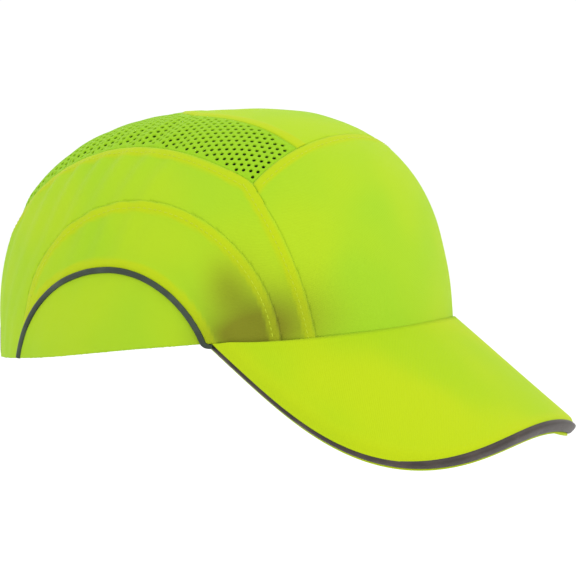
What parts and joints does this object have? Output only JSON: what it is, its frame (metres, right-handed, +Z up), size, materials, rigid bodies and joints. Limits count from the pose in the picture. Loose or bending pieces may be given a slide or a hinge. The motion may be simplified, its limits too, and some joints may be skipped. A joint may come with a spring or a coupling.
{
  "type": "bump cap",
  "caption": "Textile-covered safety bump cap with a moulded inner shell, foam pads, a long stiff peak, a mesh crown and a wheel adjuster at the nape.",
  "frame": {"origin": "middle of the head opening at the level of the rim, where the cap sits on the head", "axes": "+Z up as worn, the peak points to -Y, +Y is the nape, +X is the wearer's left"},
  "size_m": [0.1798, 0.278, 0.1481],
  "materials": {
    "yellow_textile": "close twill, fluorescent yellow-green",
    "yellow_mesh": "perforated knitted mesh, fluorescent yellow-green",
    "dark_piping": "dark grey reflective piping and tape",
    "peak_board": "flat sheet",
    "shell_plastic": "moulded, fine grain",
    "terry_band": "looped towelling",
    "foam": "closed-cell foam, matt",
    "adjuster_plastic": "moulded, satin",
    "grip_rubber": "matt rubber",
    "strap_plastic": "moulded strap, satin",
    "spring_plastic": "natural acetal",
    "webbing": "woven elastic",
    "steel": "zinc plated"
  },
  "bodies": {
    "cap": {"front_panel": "yellow_textile", "crown_tongue": "yellow_textile", "mesh_crown": "yellow_mesh", "upper_side_panel_left": "yellow_textile", "upper_side_panel_right": "yellow_textile", "middle_side_panel_left": "yellow_textile", "middle_side_panel_right": "yellow_textile", "ear_panel_left": "yellow_textile", "ear_panel_right": "yellow_textile", "ear_piping_left": "dark_piping", "ear_piping_right": "dark_piping", "rear_arch_binding": "dark_piping", "rim_tape": "dark_piping", "peak_top_cover": "yellow_textile", "peak_board": "peak_board", "peak_under_cover": "yellow_textile", "peak_piping": "dark_piping", "shell": "shell_plastic", "sweatband": "terry_band", "crown_pad": "foam", "front_pad": "foam", "side_pad_left": "foam", "side_pad_right": "foam", "rear_pad_left": "foam", "rear_pad_right": "foam", "adjuster_base": "adjuster_plastic", "adjuster_cover": "adjuster_plastic", "housing_screws": "steel", "nape_pad": "foam", "strap_keeper_left": "adjuster_plastic", "strap_keeper_right": "adjuster_plastic", "nape_hanger": "webbing", "shell_rivets": "shell_plastic"},
    "knob": {"adjuster_pinion": "adjuster_plastic", "adjuster_knob": "adjuster_plastic", "knob_grip": "grip_rubber", "knob_screw": "steel", "click_spring": "spring_plastic"},
    "strap_left": {"strap_left": "strap_plastic"},
    "strap_right": {"strap_right": "strap_plastic"}
  },
  "joints": [
    {"name": "knob_turn", "type": "hinge", "parent": "cap", "child": "knob", "pos_m": [0, 0.11, 0.005], "axis": [0, 1, 0], "range_deg": [-140, 140]},
    {"name": "strap_left_slide", "type": "hinge", "parent": "cap", "child": "strap_left", "pos_m": [0, 0.04205, 0.005], "axis": [0, 0, 1], "range_deg": [-13.2, 13.2]},
    {"name": "strap_right_slide", "type": "hinge", "parent": "cap", "child": "strap_right", "pos_m": [0, 0.04205, 0.005], "axis": [0, 0, 1], "range_deg": [-13.2, 13.2]}
  ],
  "couplings": [
    {"joint": "strap_left_slide", "follows": "knob_turn", "ratio": -0.09375},
    {"joint": "strap_right_slide", "follows": "knob_turn", "ratio": 0.09375}
  ]
}
